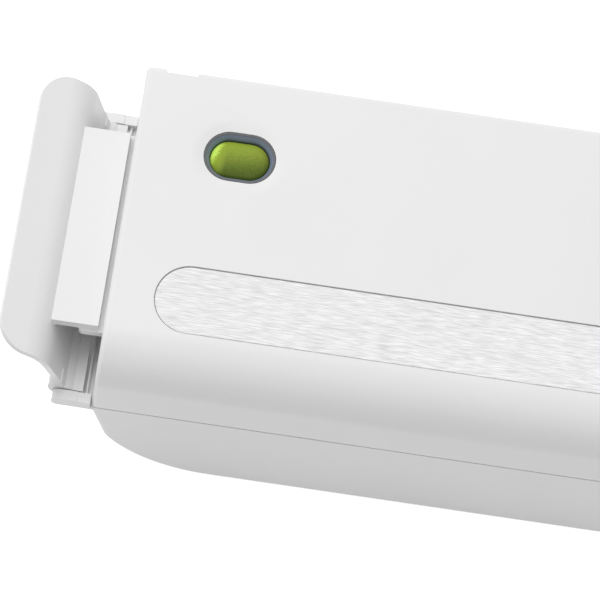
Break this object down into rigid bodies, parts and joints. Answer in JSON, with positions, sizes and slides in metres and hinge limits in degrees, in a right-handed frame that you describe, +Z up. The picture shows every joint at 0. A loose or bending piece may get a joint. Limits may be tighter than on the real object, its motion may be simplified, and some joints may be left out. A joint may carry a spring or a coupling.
{
  "type": "vacuum sealer",
  "caption": "Low oblong countertop vacuum sealer with a hinged sloping lid, brushed trim strip, oval start button and a pull-out latch lever at each end.",
  "frame": {"origin": "on the surface that the feet stand on, at the middle of the object's length and depth", "axes": "+X along the lid's length to the right, +Y from the front to the rear hinge, +Z up"},
  "size_m": [0.4446, 0.1252, 0.098],
  "materials": {
    "white_casing": "satin moulded white",
    "grey_plastic": "fine matte moulding",
    "brushed_trim": "brushed along its length",
    "bezel_plastic": "satin slate grey",
    "button_plastic": "translucent frosted green",
    "foot_rubber": "matte",
    "gasket_foam": "soft closed foam",
    "bar_resin": "heat-proof resin",
    "heater_metal": "drawn resistance ribbon",
    "tape_cloth": "coated glass cloth",
    "steel": "zinc plated",
    "black_plastic": "fine matte moulding",
    "hose_silicone": "milky silicone",
    "diaphragm_rubber": "matte",
    "motor_can": "plated drawn can",
    "core_steel": "varnished laminations",
    "coil_copper": "enamelled copper winding",
    "circuit_board": "solder mask",
    "pin_brass": "plated",
    "led_lens": "clear lens"
  },
  "bodies": {
    "base": {"base_shell": "white_casing", "base_deck": "grey_plastic", "vacuum_basin": "grey_plastic", "rubber_feet": "foot_rubber", "lower_gasket": "gasket_foam", "seal_bar": "bar_resin", "heating_strip": "heater_metal", "nonstick_tape": "tape_cloth", "deck_screws": "steel", "power_screws": "steel", "lid_hinge_pins": "steel", "latch_pin_right": "steel", "latch_pin_left": "steel", "pump_bracket": "steel", "lid_switches": "black_plastic", "power_inlet": "black_plastic", "board_components": "black_plastic", "pump_head": "black_plastic", "pump_valve_cap": "black_plastic", "release_valve": "black_plastic", "vacuum_port": "black_plastic", "vacuum_hose": "hose_silicone", "pump_diaphragm": "diaphragm_rubber", "pump_motor": "motor_can", "transformer_core": "core_steel", "transformer_coil": "coil_copper", "power_board": "circuit_board", "inlet_pins": "pin_brass"},
    "lid": {"lid_shell": "white_casing", "lid_liner": "grey_plastic", "liner_screws": "steel", "upper_gasket": "gasket_foam", "press_strip": "gasket_foam", "trim_strip": "brushed_trim", "button_bezel": "bezel_plastic", "control_board": "circuit_board", "control_screws": "steel", "tact_switch": "black_plastic", "status_led": "led_lens", "button_spring": "steel"},
    "start_button": {"button_cap": "button_plastic"},
    "latch_left": {"latch_lever_left": "white_casing"},
    "latch_right": {"latch_lever_right": "white_casing"},
    "pump_crank": {"pump_rotor": "steel"}
  },
  "joints": [
    {"name": "lid_hinge", "type": "hinge", "parent": "base", "child": "lid", "pos_m": [0, 0.0592, 0.052], "axis": [-1, 0, 0], "range_deg": [0, 75]},
    {"name": "latch_left_pivot", "type": "hinge", "parent": "base", "child": "latch_left", "pos_m": [-0.1965, 0, 0.0529], "axis": [0, -1, 0], "range_deg": [-4, 70]},
    {"name": "latch_right_pivot", "type": "hinge", "parent": "base", "child": "latch_right", "pos_m": [0.1965, 0, 0.0529], "axis": [0, 1, 0], "range_deg": [-4, 70]},
    {"name": "start_button_press", "type": "slide", "parent": "lid", "child": "start_button", "axis": [0, 0.0953, -0.9954], "range_m": [0, 0.0015], "stiffness_N_per_m": 600, "springref_m": -0.0008, "deforming": ["button_spring"]},
    {"name": "pump_crank_spin", "type": "hinge", "parent": "base", "child": "pump_crank", "pos_m": [0.084, 0.0324, 0.0245], "axis": [1, 0, 0], "continuous": true}
  ]
}
